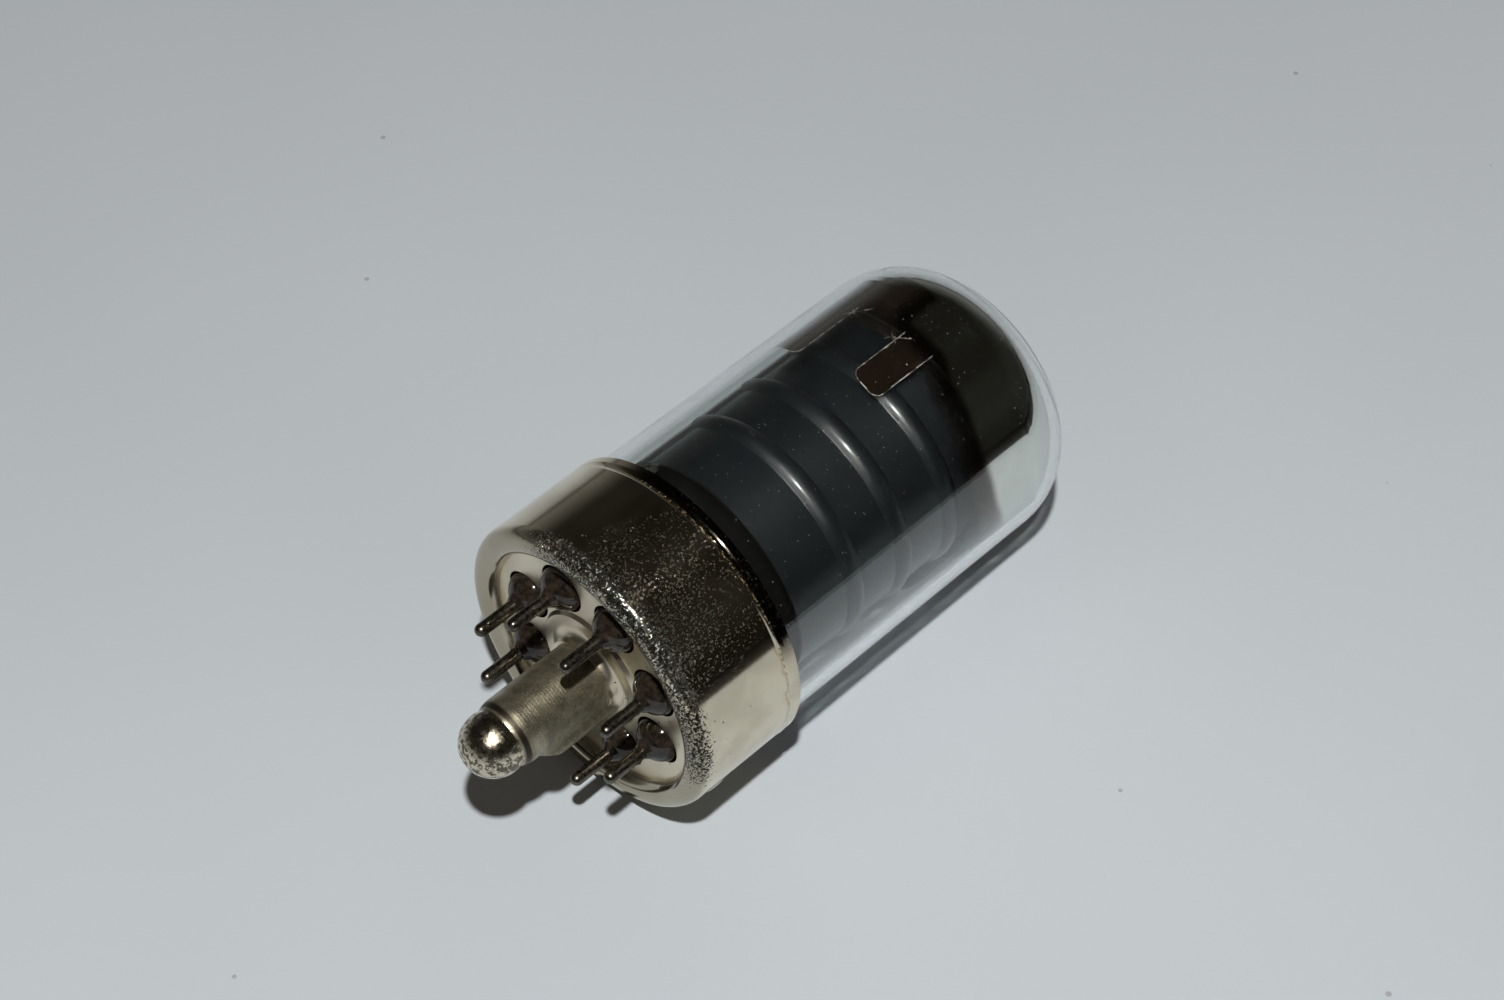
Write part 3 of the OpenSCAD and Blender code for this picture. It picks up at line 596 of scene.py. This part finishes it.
def glass_normal(n, tube):
    """A faint waviness; at the dome's pole, where smooth shading fails, the faces' own normal."""
    geometry = n.add("ShaderNodeNewGeometry")
    base = n.add("ShaderNodeMix", data_type="VECTOR")
    n.link(n.math("LESS_THAN", tube["Radius"], POLE_R), base.inputs[0])
    n.link(geometry.outputs["Normal"], base.inputs[4])
    n.link(geometry.outputs["True Normal"], base.inputs[5])
    node = n.add("ShaderNodeBump")
    n.set(node, Height=n.noise(tube["Vector"], 0.12, 1), Strength=0.05, Distance=GLASS_WAVE,
          Normal=base.outputs[1])
    return node.outputs["Normal"]


def glass_shadow(n, v):
    """Lets the lamp's light through as a plain shadow, darker where the glass is seen edge-on."""
    edge = n.add("ShaderNodeLayerWeight")
    edge.inputs["Blend"].default_value = 0.5
    streaks = n.step(n.noise(v, 0.5, 3), 0.35, 0.65, -0.12, 0.12)
    depth = n.step(n.plus(edge.outputs["Facing"], streaks), 0.30, 0.80)
    through = n.add("ShaderNodeBsdfTransparent")
    n.link(n.mix(depth, SHADOW_FACING, SHADOW_EDGE), through.inputs[0])
    return through.outputs[0]


def clear_glass():
    """Clear glass with a little dust, which lets the lamp's light through to what it encloses."""
    material, n, tube = new_material("clear_glass")
    v = tube["Vector"]
    shader = n.principled(Base_Color=GLASS_TINT, Roughness=0.0, IOR=1.5, Transmission_Weight=1.0,
                          Specular_IOR_Level=1.0, Coat_Weight=0.5, Coat_Roughness=0.0,
                          Normal=glass_normal(n, tube))
    dust = n.add("ShaderNodeBsdfDiffuse")
    dust.inputs["Color"].default_value = GLASS_DUST
    dusty = n.blend(n.times(dots(n, v, 2.0, 0.055, 0.5), 0.4), shader, dust.outputs[0])
    path = n.add("ShaderNodeLightPath")
    n.output(n.blend(path.outputs["Is Shadow Ray"], dusty, glass_shadow(n, v)))
    return material


def tab_marks(n, tube, ragged):
    """Pale marks where the tabs of the upper mica touch the mirror, 0 to 0.75."""
    marks = None
    for middle, height, slope, half in TAB_MARKS:
        along = n.times(n.minus(tube["Angle"], math.radians(turn(middle))), slope)
        across = n.plus(n.minus(tube["Height"], along), n.times(ragged, 3.0))
        mark = band(n, across, height - TAB_HALF_WIDTH, height + TAB_HALF_WIDTH, 0.06)
        mark = n.times(mark, near_angle(n, tube["Angle"], middle, half, half + 0.8))
        mark = n.times(mark, 0.75)
        marks = mark if marks is None else n.most(marks, mark)
    return marks


def film_value(n, name):
    """A value that the film's mesh carries at its points."""
    return n.add("ShaderNodeAttribute", attribute_name=name).outputs["Fac"]


def mirror_film():
    """Evaporated metal mirror, brown where it is thin, with a bright line around its tongues."""
    material, n, tube = new_material("getter_mirror")
    v = tube["Vector"]
    thick = film_value(n, "film_thick")
    ragged = n.step(n.noise(v, 3.0, 3), 0.3, 0.7, 0.05, -0.05)
    flank = n.step(n.plus(film_value(n, "film_side"), ragged), LINE_WIDTH, 0.0)
    flank = n.times(flank, n.step(tube["Height"], LINE_TOP, LINE_TOP - 0.3))
    foot = n.step(n.plus(film_value(n, "film_rise"), ragged), LINE_WIDTH, 0.0)
    line = n.most(n.most(flank, foot), tab_marks(n, tube, ragged))
    fade = n.step(n.noise(v, 1.3), 0.30, 0.55, 0.35, 1.0)
    specks = dots(n, v, 1.1, 0.07, 0.10)
    pale = n.most(n.times(line, fade), n.times(specks, 0.6))
    tone = n.mix(n.step(thick, 0.7, 1.0), FILM_THIN, FILM_THICK)
    tone = n.mix(n.times(n.noise(v, 0.35, 3), 0.2), tone, FILM_THIN)
    tone = n.mix(pale, tone, FILM_LINE)
    shine = n.minus(n.step(thick, 0.0, 0.6, 0.93, 1.0), n.times(pale, 0.5))
    n.output(n.principled(Base_Color=tone, Metallic=shine,
                          Roughness=n.plus(n.times(pale, 0.4), 0.06),
                          Alpha=n.most(film_value(n, "film_cover"), pale)))
    return material


def add_piece(name, verts, faces, material):
    """A piece from vertices of the upright tube in millimetres."""
    mesh = bpy.data.meshes.new(name)
    placed = [tuple(PLACE @ Vector(p)) for p in verts]
    mesh.from_pydata(placed, [], faces)
    mesh.materials.append(material)
    mesh.validate()
    mesh.update()
    tidy = bmesh.new()
    tidy.from_mesh(mesh)
    bmesh.ops.recalc_face_normals(tidy, faces=tidy.faces)
    tidy.to_mesh(mesh)
    tidy.free()
    obj = bpy.data.objects.new(name, mesh)
    bpy.context.scene.collection.objects.link(obj)
    mesh.shade_smooth()
    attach(obj, "root")
    return obj


def arc(cx, cz, r, a0, a1, steps):
    """Points of an arc in the half section, from angle a0 to a1 in degrees."""
    angles = [math.radians(a0 + (a1 - a0) * i / steps) for i in range(steps + 1)]
    return [(cx + r * math.cos(a), cz + r * math.sin(a)) for a in angles]


def soft_edge(theta):
    """Height of the mirror's soft lower edge at an angle from the camera's side."""
    for (a0, z0), (a1, z1) in zip(SOFT_EDGE, SOFT_EDGE[1:]):
        if a0 <= theta <= a1:
            part = (theta - a0) / (a1 - a0)
            return z0 + (z1 - z0) * part * part * (3 - 2 * part)
    return SOFT_EDGE[-1][1]


def tongue_at(theta):
    """The foot of the tongue at this angle, and the distance in mm to its nearer side."""
    for left, right, low in TONGUES:
        if left <= theta <= right:
            near = math.radians(min(theta - left, right - theta)) * FILM_R
            return low, near
    return None


def film_low(theta):
    """Height at which the film's mesh begins."""
    tongue = tongue_at(theta)
    if tongue is None:
        return soft_edge(theta)
    low, near = tongue
    inset = max(0.0, TONGUE_CORNER - near)
    low += TONGUE_CORNER - math.sqrt(TONGUE_CORNER ** 2 - min(inset, TONGUE_CORNER) ** 2)
    return low + FOOT_WAVE * math.sin(math.radians(theta * FOOT_WAVES))


def film_angles():
    """Angles of the film's columns: set ones at each side of a tongue, and even steps between."""
    exact = []
    for left, right, low in TONGUES:
        exact += [left + inset for inset in SIDE_COLUMNS]
        exact += [right - inset for inset in SIDE_COLUMNS]
    even = [-180 + k * FILM_STEP for k in range(int(360 / FILM_STEP))]
    even = [a for a in even if min(abs(a - e) for e in exact) > COLUMN_GAP]
    return sorted(even + exact)


def film_profile(theta, depth):
    """Points (radius, height, distance above the lower edge) of a column at a depth in the film."""
    low = film_low(theta)
    wall_r = FILM_R - depth
    out = []
    for i in range(WALL_ROWS):
        rise = (DOME_Z - low) * (i / WALL_ROWS) ** WALL_CROWDING
        out.append((wall_r, low + rise, rise))
    turn_angle = math.degrees(math.atan2(DOME_Z - CROWN_Z, DOME_X))
    shoulder = DOME_SHOULDER_R - BULB_R + wall_r
    crown = CROWN_R - BULB_R + wall_r
    dome = arc(DOME_X, DOME_Z, shoulder, 0, turn_angle, SHOULDER_ROWS)
    dome += arc(0, CROWN_Z, crown, turn_angle, POLE_ANGLE, CROWN_ROWS)[1:]
    return out + [(r, z, FAR_AWAY) for r, z in dome]


def ramp(value, start, end):
    """0 before start, 1 past end, and straight in between."""
    return min(1.0, max(0.0, (value - start) / (end - start)))


def film_values(theta, z, rise):
    """Cover, thickness, distance to a tongue's side and to its foot, at one point of the film."""
    low = soft_edge(theta)
    cover = ramp(z, low, low + SOFT_WIDTH)
    begins, full, fades, ends = THIN_SIDE
    thin_side = ramp(theta, begins, full) * ramp(theta, ends, fades)
    thick = cover * (1 - thin_side * ramp(z, THIN_TOP + THIN_SOFT, THIN_TOP))
    tongue = tongue_at(theta)
    if tongue is None:
        return cover, thick, FAR_AWAY, FAR_AWAY
    return 1.0, max(thick, TONGUE_THICKNESS), tongue[1], rise


def film_points(angles, rows):
    """Points of the film's outer and inner skin with their values, and last the two poles."""
    verts = []
    values = []
    for depth in (0.0, FILM_T):
        columns = [film_profile(theta, depth) for theta in angles]
        for i in range(rows):
            for theta, column in zip(angles, columns):
                r, z, rise = column[i]
                a = math.radians(turn(theta))
                verts.append((r * math.cos(a), r * math.sin(a), z))
                values.append(film_values(theta, z, rise))
    for depth in (0.0, FILM_T):
        pole_z = CROWN_Z + CROWN_R - BULB_R + FILM_R - depth
        verts.append((0.0, 0.0, pole_z))
        values.append(film_values(0.0, pole_z, FAR_AWAY))
    return verts, values


def film_faces(count, rows):
    """Faces of the two skins, of the lower edge that joins them, and around the two poles."""
    layer = rows * count
    pole = 2 * layer
    top = layer - count
    faces = []
    for i in range(rows - 1):
        for j in range(count):
            k = (j + 1) % count
            quad = (i * count + j, i * count + k, (i + 1) * count + k, (i + 1) * count + j)
            faces.append(quad)
            faces.append(tuple(layer + q for q in reversed(quad)))
    for j in range(count):
        k = (j + 1) % count
        faces.append((k, j, layer + j, layer + k))
        faces.append((top + j, top + k, pole))
        faces.append((layer + top + k, layer + top + j, pole + 1))
    return faces


def getter_film():
    """The getter's mirror, a thin closed skin on the inside of the dome."""
    angles = film_angles()
    rows = len(film_profile(0.0, 0.0))
    verts, values = film_points(angles, rows)
    film = add_piece("getter_film", verts, film_faces(len(angles), rows), MIRROR)
    for index, name in enumerate(("film_cover", "film_thick", "film_side", "film_rise")):
        data = film.data.attributes.new(name, "FLOAT", "POINT")
        data.data.foreach_set("value", [value[index] for value in values])


def set_material(node, material):
    """Gives a CAD node one material."""
    mesh = NODES[node].data
    mesh.materials.clear()
    mesh.materials.append(material)


make_camera()
make_world()
make_floor()
make_lamp()

NICKEL = nickel()
LUG_METAL = lug_metal()
PIN_METAL = metal("dark_pin_metal", (0.09, 0.08, 0.065), (0.17, 0.155, 0.13), 0.24)
WIRE_METAL = metal("wire_metal", (0.42, 0.42, 0.40), (0.60, 0.59, 0.56), 0.25)
CEMENT = coated("cement", (0.30, 0.25, 0.17), (0.46, 0.40, 0.28), 0.7)
BLACK = coated("black_coating", (0.0012, 0.0020, 0.0027), (0.0025, 0.0038, 0.0048), 0.38, 1.2, 0.05,
               gloss=0.26, lacquer=0.5)
# Painted shade: the micas are coloured near-black so that the gap above the shell and the top of the
# can read dark
MICA_PAINTED_SHADE = coated("mica", (0.02, 0.017, 0.012), (0.05, 0.042, 0.03), 0.25)
MICA_PAINTED_DEEP_SHADE = coated("mica_painted_deep_shade", (0.003, 0.003, 0.003), (0.007, 0.006, 0.005), 0.6, gloss=0.15)
WHITE = coated("white_coating", (0.70, 0.70, 0.66), (0.85, 0.85, 0.82), 0.7)
CLEAR = clear_glass()
MIRROR = mirror_film()
# Painted shade: the header's glass in the pin holes is coloured near-black for the shade seen through
# it
HEADER_GLASS_PAINTED_SHADE = coated("glass_painted_shade", (0.006, 0.005, 0.004), (0.030, 0.022, 0.016), 0.05, 1.6)

SLOT_MATERIALS = {
    "base_metal": NICKEL, "lug_metal": LUG_METAL, "pin_metal": PIN_METAL,
    "wire_metal": WIRE_METAL, "bulb_glass": CLEAR, "header_glass": HEADER_GLASS_PAINTED_SHADE,
    "cement": CEMENT, "black_coating": BLACK, "mica": MICA_PAINTED_SHADE, "white_coating": WHITE,
}
for part in frame["record"]["subparts"]:
    set_material(part["node"], SLOT_MATERIALS[part["material_slot"]])

# Painted shade: the upper and lower micas get the darkest tone
for disc in ("top_mica", "bottom_mica"):
    set_material(disc, MICA_PAINTED_DEEP_SHADE)

getter_film()
